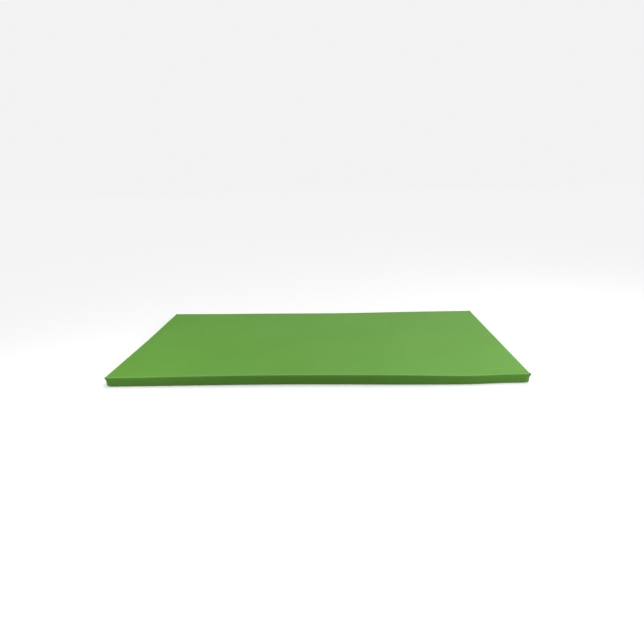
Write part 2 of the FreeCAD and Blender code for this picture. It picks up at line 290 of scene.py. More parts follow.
def corner_shape(points):
    """How a corner moves: out to a small ear at the top, and in below it, rounded at the floor."""
    ear_out, ear_up, ear_width = 0.0012, 0.0020, 0.012
    waist_in, waist_width = 0.0050, 0.018
    foot_in, foot_up, foot_width = 0.0020, 0.0030, 0.020

    inward, outside = inside_faces(points)
    corner = np.hypot(inward[:, 0], inward[:, 1])
    level = points[:, 2] / height
    ear = hump(corner, ear_width) * smooth(0.80, 0.97, level)
    waist = hump(corner, waist_width) * (1 - smooth(0.55, 0.90, level))
    foot = hump(corner, foot_width) * (1 - smooth(0.0, 0.25, level))
    shift = np.zeros_like(points)
    for axis in (0, 1):
        shift[:, axis] = outside[:, axis] * (ear_out * ear - waist_in * waist - foot_in * foot)
    shift[:, 2] = ear_up * ear + foot_up * foot
    return shift


def as_made(points):
    """The cover's shape once it is sewn, filled and laid on the floor."""
    return lain(sewn(points))


def start(name, piece):
    """Names a new piece and leaves it as the only one selected."""
    bpy.ops.object.select_all(action="DESELECT")
    piece.select_set(True)
    bpy.context.view_layer.objects.active = piece
    piece.name = name
    return piece


def select_faces(piece, chosen):
    """Selects only the faces whose centre and normal pass a test. The piece is in object mode."""
    for group in (piece.data.vertices, piece.data.edges):
        group.foreach_set("select", [False] * len(group))
    for face in piece.data.polygons:
        face.select = bool(chosen(face.center, face.normal))


def green_vinyl():
    """Satin coated fabric: a fine pressed grain, faint cloudiness, and a painted highlight along
    the folds at the seams, which makes the colour paler there.
    """
    vinyl, nodes, links, skin = new_material("green_coated_fabric")
    skin["Specular IOR Level"].default_value = 0.13
    place = nodes.new("ShaderNodeTexCoord")

    cloud = nodes.new("ShaderNodeTexNoise")
    cloud.inputs["Scale"].default_value = 2.3
    cloud.inputs["Detail"].default_value = 3.0
    links.new(place.outputs["Object"], cloud.inputs["Vector"])
    tint = nodes.new("ShaderNodeValToRGB")
    tint.color_ramp.elements[0].position = 0.30
    tint.color_ramp.elements[0].color = (0.056, 0.157, 0.016, 1)
    tint.color_ramp.elements[1].position = 0.72
    tint.color_ramp.elements[1].color = (0.061, 0.166, 0.019, 1)
    links.new(cloud.outputs["Fac"], tint.inputs["Fac"])

    # Painted highlight: the base colour turns a paler green along the sewn folds, standing in for
    # the light that their rounded edges catch.
    highlight_mask = nodes.new("ShaderNodeAttribute")
    highlight_mask.attribute_name = "fold_highlight"
    painted_highlight = nodes.new("ShaderNodeMix")
    painted_highlight.data_type = "RGBA"
    painted_highlight.inputs["B"].default_value = (0.110, 0.232, 0.055, 1)
    links.new(highlight_mask.outputs["Fac"], painted_highlight.inputs["Factor"])
    links.new(tint.outputs["Color"], painted_highlight.inputs["A"])
    links.new(painted_highlight.outputs["Result"], skin["Base Color"])

    rub = nodes.new("ShaderNodeTexNoise")
    rub.inputs["Scale"].default_value = 14.0
    rub.inputs["Detail"].default_value = 5.0
    links.new(place.outputs["Object"], rub.inputs["Vector"])
    gloss = nodes.new("ShaderNodeMapRange")
    gloss.inputs["To Min"].default_value = 0.40
    gloss.inputs["To Max"].default_value = 0.54
    links.new(rub.outputs["Fac"], gloss.inputs["Value"])
    links.new(gloss.outputs["Result"], skin["Roughness"])

    pebble = nodes.new("ShaderNodeTexVoronoi")
    pebble.inputs["Scale"].default_value = 850.0
    links.new(place.outputs["Object"], pebble.inputs["Vector"])
    grain = nodes.new("ShaderNodeBump")
    grain.inputs["Strength"].default_value = 0.5
    grain.inputs["Distance"].default_value = 0.0002
    links.new(pebble.outputs["Distance"], grain.inputs["Height"])
    scrim = nodes.new("ShaderNodeTexNoise")
    scrim.inputs["Scale"].default_value = 38.0
    scrim.inputs["Detail"].default_value = 2.0
    links.new(place.outputs["Object"], scrim.inputs["Vector"])
    slack = nodes.new("ShaderNodeBump")
    slack.inputs["Strength"].default_value = 0.25
    slack.inputs["Distance"].default_value = 0.0006
    links.new(scrim.outputs["Fac"], slack.inputs["Height"])
    links.new(grain.outputs["Normal"], slack.inputs["Normal"])
    links.new(slack.outputs["Normal"], skin["Normal"])
    return vinyl


vinyl = green_vinyl()


def note_fold_highlight(piece):
    """Stores how strong the painted highlight is at each point, from how close it lies to a sewn
    fold, before the slack is added.
    """
    highlight_strength, highlight_width = 0.60, 0.0055
    inward, _ = inside_faces(points_of(piece))
    inward.sort(axis=1)
    off = np.hypot(inward[:, 0] - seam_inset, inward[:, 1] - seam_inset)
    shine_and_tone = piece.data.attributes.new("fold_highlight", "FLOAT", "POINT")
    # The strength of the painted highlight: strongest on the fold, fading within a few millimetres
    # of it.
    shine_and_tone.data.foreach_set("value", highlight_strength * hump(off, highlight_width))


bpy.ops.object.select_all(action="DESELECT")
bpy.ops.mesh.primitive_grid_add(
    x_subdivisions=round(length / cloth_step), y_subdivisions=round(width / cloth_step), size=1
)
cover = start("cover", bpy.context.object)
bpy.ops.object.mode_set(mode="EDIT")
bpy.ops.transform.resize(value=(length, width, 1))
bpy.ops.mesh.extrude_region_move(TRANSFORM_OT_translate={"value": (0, 0, height)})
for level in band_levels:
    bpy.ops.mesh.select_all(action="SELECT")
    bpy.ops.mesh.bisect(plane_co=(0, 0, level), plane_no=(0, 0, 1))
bpy.ops.mesh.select_all(action="SELECT")
bpy.ops.mesh.normals_make_consistent(inside=False)
bpy.ops.mesh.select_all(action="DESELECT")
bpy.ops.mesh.edges_select_sharp(sharpness=math.radians(60))
bpy.ops.mesh.bevel(offset=edge_radius, segments=edge_steps, profile=0.5, affect="EDGES")
bpy.ops.object.mode_set(mode="OBJECT")

# Each face goes to the piece of fabric that it lies on, so the cover parts along its seams.
cuts = {
    "front_side_band": (0, -1, 0),
    "back_side_band": (0, 1, 0),
    "left_end_band": (-1, 0, 0),
    "zip_end": (1, 0, 0),
    "bottom_panel": (0, 0, -1),
    "top_panel": (0, 0, 1),
}
for cut in cuts:
    cover.data.materials.append(bpy.data.materials.new(cut))
for face in cover.data.polygons:
    facing = [face.normal.dot(outward) for outward in cuts.values()]
    face.material_index = facing.index(max(facing))
bpy.ops.object.mode_set(mode="EDIT")
bpy.ops.mesh.select_all(action="SELECT")
bpy.ops.mesh.separate(type="MATERIAL")
bpy.ops.object.mode_set(mode="OBJECT")
panels = {piece.active_material.name: piece for piece in bpy.context.selected_objects}


def fitted_over_foam(panel):
    """Lets the top panel, cut a touch too large and held at its seams, settle on the foam."""
    slab_top = height - 2 * fabric
    slab_short = 0.008  # of the cover, so that it doesn't touch the held edges
    held_edge = edge_radius + 0.002
    last_frame = 12
    rest = points_of(panel)

    bpy.ops.object.select_all(action="DESELECT")
    bpy.ops.mesh.primitive_cube_add(size=1)
    slab = start("slab", bpy.context.object)
    bpy.ops.object.mode_set(mode="EDIT")
    bpy.ops.transform.resize(value=(length - slab_short, width - slab_short, slab_top))
    bpy.ops.transform.translate(value=(0, 0, slab_top / 2))
    bpy.ops.object.mode_set(mode="OBJECT")
    bpy.ops.object.modifier_add(type="COLLISION")
    slab.collision.thickness_outer = 0.001

    start("top_panel", panel)
    held = panel.vertex_groups.new(name="held")
    inside = np.minimum(half_length - np.abs(rest[:, 0]), half_width - np.abs(rest[:, 1]))
    held.add([int(i) for i in np.nonzero(inside < held_edge)[0]], 1.0, "REPLACE")
    bpy.ops.object.modifier_add(type="CLOTH")
    cloth = panel.modifiers[-1]
    cloth.settings.quality = 5
    cloth.settings.mass = 0.02
    cloth.settings.tension_stiffness = 8
    cloth.settings.compression_stiffness = 8
    cloth.settings.shear_stiffness = 4
    cloth.settings.bending_stiffness = 0.02
    cloth.settings.shrink_min = -0.002
    cloth.settings.vertex_group_mass = "held"
    cloth.collision_settings.distance_min = 0.0005
    cloth.point_cache.frame_end = last_frame
    for frame_number in range(1, last_frame + 1):
        bpy.context.scene.frame_set(frame_number)
    bpy.ops.object.modifier_apply(modifier=cloth.name)
    bpy.data.objects.remove(slab)
    panel.vertex_groups.clear()

    def tightened(points):
        """Keeps part of how far the fabric rose, and caps it: a filled cover has low ripples."""
        kept, taken_up, lowest, highest = 0.6, 0.0008, -0.0002, 0.0012
        out = rest.copy()
        out[:, 2] += np.clip(kept * (points[:, 2] - rest[:, 2] - taken_up), lowest, highest)
        return out

    moved(panel, tightened)


fitted_over_foam(panels["top_panel"])


def finish_panel(piece):
    """Gives a panel finer fabric, its sewn shape and its colour, and lets it ride on the mat."""
    bpy.ops.object.modifier_add(type="SUBSURF")
    finer = piece.modifiers[-1]
    finer.levels = finer.render_levels = 1
    finer.boundary_smooth = "PRESERVE_CORNERS"
    bpy.ops.object.modifier_apply(modifier=finer.name)
    # The painted highlight along the folds is stored before the panel takes its sewn shape.
    note_fold_highlight(piece)
    moved(piece, as_made)
    bpy.ops.object.shade_smooth()
    piece.data.materials.clear()
    piece.data.materials.append(vinyl)
    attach(piece, "mat")


def thickened(piece, thickness, rim_only=False):
    """Gives a piece a wall inwards from its face, or only turns its edges in by so much."""
    bpy.ops.object.modifier_add(type="SOLIDIFY")
    wall = piece.modifiers[-1]
    wall.thickness = thickness
    wall.offset = -1
    wall.use_rim_only = rim_only
    bpy.ops.object.modifier_apply(modifier=wall.name)


turned_in = 0.004
seam_allowance = 0.010
cut_sizes = {
    "top_panel": (width + 2 * seam_allowance, length + 2 * seam_allowance),
    "bottom_panel": (width + 2 * seam_allowance, length + 2 * seam_allowance),
    "front_side_band": (height + 2 * seam_allowance, length + 2 * seam_allowance),
    "back_side_band": (height + 2 * seam_allowance, length + 2 * seam_allowance),
    "left_end_band": (height + 2 * seam_allowance, width + 2 * seam_allowance),
}
for node, cut_size in cut_sizes.items():
    piece = start("cover_" + node, panels[node])
    finish_panel(piece)
    thickened(piece, turned_in, rim_only=True)
    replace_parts(piece, node)

# ---- zip end of the cover -----------------------------------------------------------------------
# The right end has a strip of the same fabric above and below the zip, each sewn to a tape, and a
# plain patch of it at both corners.

zip_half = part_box("zip_band_upper")[1].y
zip_end = start("zip_end", panels["zip_end"])
bpy.ops.object.mode_set(mode="EDIT")
for side in (-zip_half, zip_half):
    bpy.ops.mesh.select_all(action="SELECT")
    bpy.ops.mesh.bisect(plane_co=(0, side, 0), plane_no=(0, 1, 0))
bpy.ops.object.mode_set(mode="OBJECT")


def in_zip_window(centre, normal):
    return abs(centre.y) < zip_half and window[0] < centre.z < window[1]


select_faces(zip_end, in_zip_window)
bpy.ops.object.mode_set(mode="EDIT")
bpy.ops.mesh.delete(type="FACE")
bpy.ops.object.mode_set(mode="OBJECT")
zip_end.data.materials.clear()
end_cuts = ("zip_band_lower", "zip_band_upper", "zip_end_patch_front", "zip_end_patch_back")
for cut in end_cuts:
    zip_end.data.materials.append(bpy.data.materials.new(cut))
for face in zip_end.data.polygons:
    if abs(face.center.y) < zip_half:
        face.material_index = int(face.center.z > window[1])
    else:
        face.material_index = 2 + int(face.center.y > 0)
bpy.ops.object.mode_set(mode="EDIT")
bpy.ops.mesh.select_all(action="SELECT")
bpy.ops.mesh.separate(type="MATERIAL")
bpy.ops.object.mode_set(mode="OBJECT")
end_pieces = {piece.active_material.name: piece for piece in bpy.context.selected_objects}
for node in end_cuts:
    piece = start("cover_" + node, end_pieces[node])
    finish_panel(piece)
    thickened(piece, fabric)
    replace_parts(piece, node)
    low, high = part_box(node)

# ---- foam core ----------------------------------------------------------------------------------
# Two sheets of pale closed-cell polyethylene foam lie on each other inside the cover. They give
# the mat its flat sides, and follow its slack.


def cell_foam():
    """Off-white closed-cell foam: a field of small round cells, some of them open at the cut."""
    foam, nodes, links, skin = new_material("closed_cell_foam")
    skin["Roughness"].default_value = 0.85
    skin["Specular IOR Level"].default_value = 0.2
    place = nodes.new("ShaderNodeTexCoord")
    cells = nodes.new("ShaderNodeTexVoronoi")
    cells.inputs["Scale"].default_value = 620.0
    links.new(place.outputs["Object"], cells.inputs["Vector"])
    tone = nodes.new("ShaderNodeValToRGB")
    tone.color_ramp.elements[0].color = (0.60, 0.60, 0.56, 1)
    tone.color_ramp.elements[1].color = (0.76, 0.76, 0.72, 1)
    tone.color_ramp.elements[1].position = 0.6
    links.new(cells.outputs["Distance"], tone.inputs["Fac"])
    links.new(tone.outputs["Color"], skin["Base Color"])
    pits = nodes.new("ShaderNodeBump")
    pits.inputs["Strength"].default_value = 0.6
    pits.inputs["Distance"].default_value = 0.0003
    links.new(cells.outputs["Distance"], pits.inputs["Height"])
    links.new(pits.outputs["Normal"], skin["Normal"])
    return foam


foam = cell_foam()
foam_edge = 0.003
foam_corner = 0.018  # pressed in by the cover
foam_cuts = (32, 16)  # along and across


def cut_across(axis, low, high, count):
    """Cuts the piece in edit mode by planes spaced evenly between two places on an axis."""
    normal = [0, 0, 0]
    normal[axis] = 1
    for step in range(1, count):
        place = [0, 0, 0]
        place[axis] = low + (high - low) * step / count
        bpy.ops.mesh.select_all(action="SELECT")
        bpy.ops.mesh.bisect(plane_co=place, plane_no=normal)


def block(name, low, high):
    """A cube between two corners, left in edit mode with everything selected."""
    bpy.ops.object.select_all(action="DESELECT")
    bpy.ops.mesh.primitive_cube_add(size=1)
    piece = start(name, bpy.context.object)
    bpy.ops.object.mode_set(mode="EDIT")
    bpy.ops.transform.resize(value=[b - a for a, b in zip(low, high)])
    bpy.ops.transform.translate(value=[(a + b) / 2 for a, b in zip(low, high)])
    return piece


def round_corners(piece, axis, radius, steps):
    """Rounds the four edges of a new block that run along an axis. It stays in edit mode."""
    bpy.ops.mesh.select_mode(type="EDGE")
    bpy.ops.object.mode_set(mode="OBJECT")
    select_faces(piece, lambda centre, normal: False)
    for edge in piece.data.edges:
        ends = [piece.data.vertices[v].co for v in edge.vertices]
        across = [abs(ends[0][i] - ends[1][i]) for i in range(3) if i != axis]
        edge.select = max(across) < 0.000001
    bpy.ops.object.mode_set(mode="EDIT")
    bpy.ops.mesh.bevel(offset=radius, segments=steps, affect="EDGES")
    bpy.ops.mesh.select_mode(type="VERT")


for node in ("foam_core_lower", "foam_core_upper"):
    low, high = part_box(node)
    piece = block("sheet_" + node, low, high)
    round_corners(piece, 2, foam_corner, 4)
    bpy.ops.mesh.edges_select_sharp(sharpness=math.radians(60))
    bpy.ops.mesh.bevel(offset=foam_edge, segments=2, affect="EDGES")
    for axis in (0, 1):
        cut_across(axis, low[axis], high[axis], foam_cuts[axis])
    bpy.ops.object.mode_set(mode="OBJECT")
    moved(piece, lambda points: lain(points + corner_shape(points)))
    bpy.ops.object.shade_smooth_by_angle(angle=math.radians(30))
    piece.data.materials.append(foam)
    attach(piece, "mat")
    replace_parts(piece, node)

# ---- sewing -------------------------------------------------------------------------------------
# Thick twisted polyester thread in the colour of the cover, lockstitched at a pitch of 4.5 mm. A
# row runs round the bands below the top seam and one above the bottom seam, with upright rows at
# the corners, and the zip's hems are held by a row each.

stitch_pitch = 0.0045
half_stitch = 0.46 * stitch_pitch
stitch_slant = math.radians(5)
thread_radius = 0.00038


def thread(name, colour):
    """Matt thread with its ply showing as fine slanted bands."""
    yarn, nodes, links, skin = new_material(name)
    skin["Roughness"].default_value = 0.7
    skin["Specular IOR Level"].default_value = 0.15
    place = nodes.new("ShaderNodeTexCoord")
    ply = nodes.new("ShaderNodeTexWave")
    ply.bands_direction = "DIAGONAL"
    ply.inputs["Scale"].default_value = 330.0
    links.new(place.outputs["Object"], ply.inputs["Vector"])
    tone = nodes.new("ShaderNodeValToRGB")
    tone.color_ramp.elements[0].color = [0.62 * c for c in colour] + [1]
    tone.color_ramp.elements[1].color = list(colour) + [1]
    links.new(ply.outputs["Fac"], tone.inputs["Fac"])
    links.new(tone.outputs["Color"], skin["Base Color"])
    twist = nodes.new("ShaderNodeBump")
    twist.inputs["Strength"].default_value = 0.5
    twist.inputs["Distance"].default_value = 0.0001
    links.new(ply.outputs["Fac"], twist.inputs["Height"])
    links.new(twist.outputs["Normal"], skin["Normal"])
    return yarn


def repeated(piece, count, step):
    """Repeats the piece's mesh along a step, as one mesh."""
    bpy.ops.object.modifier_add(type="ARRAY")
    series = piece.modifiers[-1]
    series.count = count
    series.use_relative_offset = False
    series.use_constant_offset = True
    series.constant_offset_displace = step
    bpy.ops.object.modifier_apply(modifier=series.name)


def stitch_row(first, last, outward):
    """A straight row of stitches between two points of a flat face that looks outward."""
    run, up = Vector(last) - Vector(first), Vector(outward)
    count = round(run.length / stitch_pitch)
    spacing = run.length / count
    bpy.ops.object.select_all(action="DESELECT")
    bpy.ops.mesh.primitive_uv_sphere_add(segments=6, ring_count=5, radius=1)
    row = start("row", bpy.context.object)
    bpy.ops.object.mode_set(mode="EDIT")
    bpy.ops.transform.rotate(value=math.pi / 2, orient_axis="Y", center_override=(0, 0, 0))
    bpy.ops.transform.resize(value=(half_stitch, thread_radius, thread_radius))
    bpy.ops.transform.rotate(value=stitch_slant, orient_axis="Z", center_override=(0, 0, 0))
    bpy.ops.transform.translate(value=(spacing / 2, 0, 0))
    bpy.ops.object.mode_set(mode="OBJECT")
    repeated(row, count, (spacing, 0, 0))
    along = run.normalized()
    row.matrix_world = Matrix((along, up.cross(along), up)).transposed().to_4x4()
    row.location = first
    bpy.ops.object.transform_apply(location=True, rotation=True, scale=True)
    return row


def sewn_rows(name, rows, yarn):
    """Joins rows of stitches into one piece that follows the cover."""
    bpy.ops.object.select_all(action="DESELECT")
    for row in rows:
        row.select_set(True)
    bpy.context.view_layer.objects.active = rows[0]
    bpy.ops.object.join()
    piece = start(name, bpy.context.object)
    moved(piece, as_made)
    bpy.ops.object.shade_smooth()
    piece.data.materials.append(yarn)
    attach(piece, "mat")
    return piece


green_thread = thread("green_thread", (0.064, 0.165, 0.024))
short_of_corner = 0.0055
row_end_x, row_end_y = half_length - short_of_corner, half_width - short_of_corner
for node in ("edge_stitching_top", "edge_stitching_bottom"):
    low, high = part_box(node)
    level = (low.z + high.z) / 2
    rows = []
    for side in (-1, 1):
        row_y = side * half_width
        rows.append(stitch_row((-row_end_x, row_y, level), (row_end_x, row_y, level), (0, side, 0)))
        row_x = side * half_length
        rows.append(stitch_row((row_x, -row_end_y, level), (row_x, row_end_y, level), (side, 0, 0)))
    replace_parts(sewn_rows(node + "_thread", rows, green_thread), node)

corner_row = half_width - 0.005
patch_row = zip_half + 0.002
row_low, row_high = stitch_inset + 0.002, height - stitch_inset - 0.002
rows = []
for side in (-1, 1):
    row_x = side * half_length
    for row_y in (-corner_row, corner_row):
        rows.append(stitch_row((row_x, row_y, row_low), (row_x, row_y, row_high), (side, 0, 0)))
    foot, top = [(half_length, side * patch_row, z) for z in (row_low, row_high)]
    rows.append(stitch_row(foot, top, (1, 0, 0)))
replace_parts(sewn_rows("corner_thread", rows, green_thread), "corner_stitching")

low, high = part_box("zip_stitching")
rows = []
for level in (low.z + half_row, high.z - half_row):
    rows.append(stitch_row((half_length, low.y, level), (half_length, high.y, level), (1, 0, 0)))
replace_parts(sewn_rows("zip_hem_thread", rows, green_thread), "zip_stitching")

# ---- zip ----------------------------------------------------------------------------------------
# Two woven polyester tapes lie behind the hems, each with a coil of nylon monofilament sewn along
# its edge. The coils' loops catch between each other, and crimped metal stops end them.

tape_edge = 0.00015
coil_pitch = 0.0016
coil_lean = math.radians(10)
coil_overlap = 0.0006  # of a loop's tip past the middle, between the other coil's loops
coil_across = 0.0036  # the stretch that turns a round ring's wire into a flattened loop


def woven_tape():
    """Dark tape: cords along it, crossed by finer picks."""
    tape, nodes, links, skin = new_material("woven_zip_tape")
    skin["Roughness"].default_value = 0.8
    skin["Specular IOR Level"].default_value = 0.2
    place = nodes.new("ShaderNodeTexCoord")
    cords = nodes.new("ShaderNodeTexWave")
    cords.bands_direction = "Z"
    cords.inputs["Scale"].default_value = 400.0
    picks = nodes.new("ShaderNodeTexWave")
    picks.bands_direction = "Y"
    picks.inputs["Scale"].default_value = 560.0
    weave = nodes.new("ShaderNodeMath")
    weave.operation = "MULTIPLY"
    for number, threads in enumerate((cords, picks)):
        links.new(place.outputs["Object"], threads.inputs["Vector"])
        links.new(threads.outputs["Fac"], weave.inputs[number])
    tone = nodes.new("ShaderNodeValToRGB")
    tone.color_ramp.elements[0].color = (0.012, 0.022, 0.010, 1)
    tone.color_ramp.elements[1].color = (0.030, 0.052, 0.024, 1)
    links.new(weave.outputs["Value"], tone.inputs["Fac"])
    links.new(tone.outputs["Color"], skin["Base Color"])
    relief = nodes.new("ShaderNodeBump")
    relief.inputs["Strength"].default_value = 0.6
    relief.inputs["Distance"].default_value = 0.00015
    links.new(weave.outputs["Value"], relief.inputs["Height"])
    links.new(relief.outputs["Normal"], skin["Normal"])
    return tape


def coil_nylon():
    """Near-black nylon with a dull shine that varies along the coil."""
    nylon, nodes, links, skin = new_material("coil_nylon")
    place = nodes.new("ShaderNodeTexCoord")
    shine_and_tone = nodes.new("ShaderNodeTexNoise")
    shine_and_tone.inputs["Scale"].default_value = 90.0
    links.new(place.outputs["Object"], shine_and_tone.inputs["Vector"])
    tone = nodes.new("ShaderNodeValToRGB")
    tone.color_ramp.elements[0].color = (0.008, 0.010, 0.008, 1)
    tone.color_ramp.elements[1].color = (0.020, 0.024, 0.020, 1)
    links.new(shine_and_tone.outputs["Fac"], tone.inputs["Fac"])
    links.new(tone.outputs["Color"], skin["Base Color"])
    gloss = nodes.new("ShaderNodeMapRange")
    gloss.inputs["To Min"].default_value = 0.30
    gloss.inputs["To Max"].default_value = 0.50
    links.new(shine_and_tone.outputs["Fac"], gloss.inputs["Value"])
    links.new(gloss.outputs["Result"], skin["Roughness"])
    return nylon


tape_cloth = woven_tape()
nylon = coil_nylon()
for node in ("zip_tape_upper", "zip_tape_lower"):
    low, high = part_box(node)
    piece = block(node + "_weave", low, high)
    bpy.ops.mesh.bevel(offset=tape_edge, segments=1, affect="EDGES")
    bpy.ops.object.mode_set(mode="OBJECT")
    piece.data.materials.append(tape_cloth)
    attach(piece, "mat")
    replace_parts(piece, node)

for node, towards, shift in (("zip_coil_upper", -1, 0.25), ("zip_coil_lower", 1, 0.75)):
    low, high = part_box(node)
    outer = high.z if towards < 0 else low.z
    tip = height / 2 + towards * coil_overlap
    bpy.ops.object.select_all(action="DESELECT")
    bpy.ops.mesh.primitive_torus_add(
        major_segments=10, minor_segments=4, major_radius=0.4, minor_radius=0.1
    )
    piece = start(node + "_loops", bpy.context.object)
    bpy.ops.object.mode_set(mode="EDIT")
    bpy.ops.transform.rotate(value=math.pi / 2, orient_axis="X", center_override=(0, 0, 0))
    bpy.ops.transform.resize(value=(high.x - low.x, coil_across, abs(outer - tip)))
    bpy.ops.transform.rotate(value=coil_lean, orient_axis="X", center_override=(0, 0, 0))
    bpy.ops.transform.translate(
        value=((low.x + high.x) / 2, low.y + shift * coil_pitch, (outer + tip) / 2)
    )
    bpy.ops.object.mode_set(mode="OBJECT")
    repeated(piece, int((high.y - low.y) / coil_pitch), (0, coil_pitch, 0))
    bpy.ops.object.shade_smooth()
    piece.data.materials.append(nylon)
    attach(piece, "mat")
    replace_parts(piece, node)

# ---- zip slider, pull tab and stops -------------------------------------------------------------
# Cast zinc with a dull nickel finish, rubbed brighter in patches, and with tumbled edges. The tab
# hangs from the slider's pin.


def dull_nickel():
    """Satin metal with faint blotches in its shine."""
    metal, nodes, links, skin = new_material("dull_nickel")
    skin["Metallic"].default_value = 1.0
    place = nodes.new("ShaderNodeTexCoord")
    blotch = nodes.new("ShaderNodeTexNoise")
    blotch.inputs["Scale"].default_value = 260.0
    blotch.inputs["Detail"].default_value = 4.0
    links.new(place.outputs["Object"], blotch.inputs["Vector"])
    tone = nodes.new("ShaderNodeValToRGB")
    tone.color_ramp.elements[0].color = (0.40, 0.41, 0.42, 1)
    tone.color_ramp.elements[1].color = (0.56, 0.57, 0.58, 1)
    links.new(blotch.outputs["Fac"], tone.inputs["Fac"])
    links.new(tone.outputs["Color"], skin["Base Color"])
    gloss = nodes.new("ShaderNodeMapRange")
    gloss.inputs["To Min"].default_value = 0.28
    gloss.inputs["To Max"].default_value = 0.46
    links.new(blotch.outputs["Fac"], gloss.inputs["Value"])
    links.new(gloss.outputs["Result"], skin["Roughness"])
    return metal


nickel = dull_nickel()
metal_parts = {
    "zip_slider": ("zip_slider", 0.00025),
    "zip_pull_tab": ("zip_pull", 0.00020),
    "zip_top_stops": ("mat", 0.00012),
    "zip_bottom_stop": ("mat", 0.00012),
}
for node, (body_name, edge) in metal_parts.items():
    piece = bpy.data.objects.new(node + "_casting", frame["nodes"][node].data.copy())
    bpy.context.scene.collection.objects.link(piece)
    start(node + "_casting", piece)
    piece.data.materials.clear()
    bpy.ops.mesh.customdata_custom_splitnormals_clear()
    bpy.ops.object.mode_set(mode="EDIT")
    bpy.ops.mesh.select_all(action="SELECT")
    bpy.ops.mesh.remove_doubles(threshold=0.000002)
    bpy.ops.mesh.dissolve_limited(angle_limit=math.radians(1))
    bpy.ops.object.mode_set(mode="OBJECT")
    bpy.ops.object.modifier_add(type="BEVEL")
    tumbled = piece.modifiers[-1]
    tumbled.width = edge
    tumbled.segments = 2
    tumbled.angle_limit = math.radians(40)
    bpy.ops.object.modifier_apply(modifier=tumbled.name)
    bpy.ops.object.shade_smooth_by_angle(angle=math.radians(35))
    piece.data.materials.append(nickel)
    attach(piece, body_name)
    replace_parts(piece, node)

# ---- carrying straps ----------------------------------------------------------------------------
# Two loops of dark green polyester webbing on the back side. Each lies flat on a patch of the cover
# fabric, box-stitched through it, and has a sleeve of that fabric round its middle as a grip.

strap_thickness = 0.0022
strap_edge = 0.0007
loop_half_span, loop_rise = 0.095, 0.036
bend_radius = 0.016  # where the strap turns to lie on its patch
sewn_run = 0.06  # along the patch, more than the sewn end needs
strap_droop = math.radians(15.09)
droop_start, droop_full = 0.109, 0.065  # from the loop's middle, where its hang starts and is full
sleeve_half_length, sleeve_half_depth, sleeve_ease = 0.055, 0.0023, 0.0012
sleeve_wall, sleeve_fold = 0.0010, 0.0019
patch_corner = 0.006
box_run = 0.034  # of the box stitching, along the strap
patch_row_inset = 0.0025


def webbing():
    """Plain woven webbing: rounded floats in staggered rows, a little uneven in colour."""
    web, nodes, links, skin = new_material("green_webbing")
    skin["Roughness"].default_value = 0.75
    skin["Specular IOR Level"].default_value = 0.15
    flat = nodes.new("ShaderNodeUVMap")
    flat.uv_map = "strap"
    floats = nodes.new("ShaderNodeTexBrick")
    floats.inputs["Scale"].default_value = 600.0
    floats.inputs["Brick Width"].default_value = 0.80
    floats.inputs["Row Height"].default_value = 0.50
    floats.inputs["Mortar Size"].default_value = 0.10
    floats.inputs["Mortar Smooth"].default_value = 1.0
    floats.inputs["Color1"].default_value = (0.036, 0.098, 0.022, 1)
    floats.inputs["Color2"].default_value = (0.046, 0.122, 0.029, 1)
    floats.inputs["Mortar"].default_value = (0.020, 0.056, 0.013, 1)
    links.new(flat.outputs["UV"], floats.inputs["Vector"])
    links.new(floats.outputs["Color"], skin["Base Color"])
    relief = nodes.new("ShaderNodeBump")
    relief.invert = True
    relief.inputs["Strength"].default_value = 0.8
    relief.inputs["Distance"].default_value = 0.0003
    links.new(floats.outputs["Fac"], relief.inputs["Height"])
    links.new(relief.outputs["Normal"], skin["Normal"])
    return web


def strap_line(hinge, lying):
    """Follows a strap from its loop's middle to its end, on a patch where it lies at a given y.

    Gives the length along it, how it is turned there, how far along X it is, and how far out.
    """
    loop_radius = (loop_half_span**2 + loop_rise**2) / (2 * loop_rise)
    slope = math.asin(loop_half_span / loop_radius)
    drop = hinge[1] - lying - bend_radius * (1 - math.cos(slope))
    arc, straight, bend = loop_radius * slope, drop / math.sin(slope), bend_radius * slope
    lengths = np.cumsum([0, arc, straight, bend, sewn_run])
    fine = np.linspace(0, lengths[-1], 6001)
    turn = np.interp(fine, lengths, [0, slope, slope, 0, 0])
    step = fine[1]
    reach = np.cumsum(np.cos(turn)) * step - step
    stands_out = loop_rise - np.cumsum(np.sin(turn)) * step
    return fine, turn, reach, stands_out


def bent_strap(line, middle, hinge):
    """A function that bends a straight strap, laid along X through the origin, into its loop."""
    fine, turn, reach, stands_out = line

    def bend(points):
        s, t, w = points.T
        angle = np.interp(np.abs(s), fine, turn)
        along = np.sign(s) * (np.interp(np.abs(s), fine, reach) + t * np.sin(angle))
        across = np.interp(np.abs(s), fine, stands_out) + t * np.cos(angle)
        swing = -strap_droop * (1 - smooth(droop_full, droop_start, np.abs(along)))
        out = np.empty_like(points)
        out[:, 0] = middle + along
        out[:, 1] = hinge[1] + across * np.cos(swing) - w * np.sin(swing)
        out[:, 2] = hinge[2] + across * np.sin(swing) + w * np.cos(swing)
        return out

    return bend


def gathered(points):
    """Draws the sleeve in at its ends and lets it crease a little between them."""
    crease_height, crease_length, crease_lean = 0.00025, 0.0045, 30
    end_pull, end_start = 0.0004, 0.042
    s, t, w = points.T
    out = points.copy()
    at_end = smooth(end_start, sleeve_half_length, np.abs(s))
    fade = np.sin(math.pi * np.clip(s / sleeve_half_length, -1, 1) / 2) ** 2
    crease = np.sin(s / crease_length + crease_lean * w) * fade
    out[:, 1] += np.sign(t) * (crease_height * crease - end_pull * at_end)
    return out


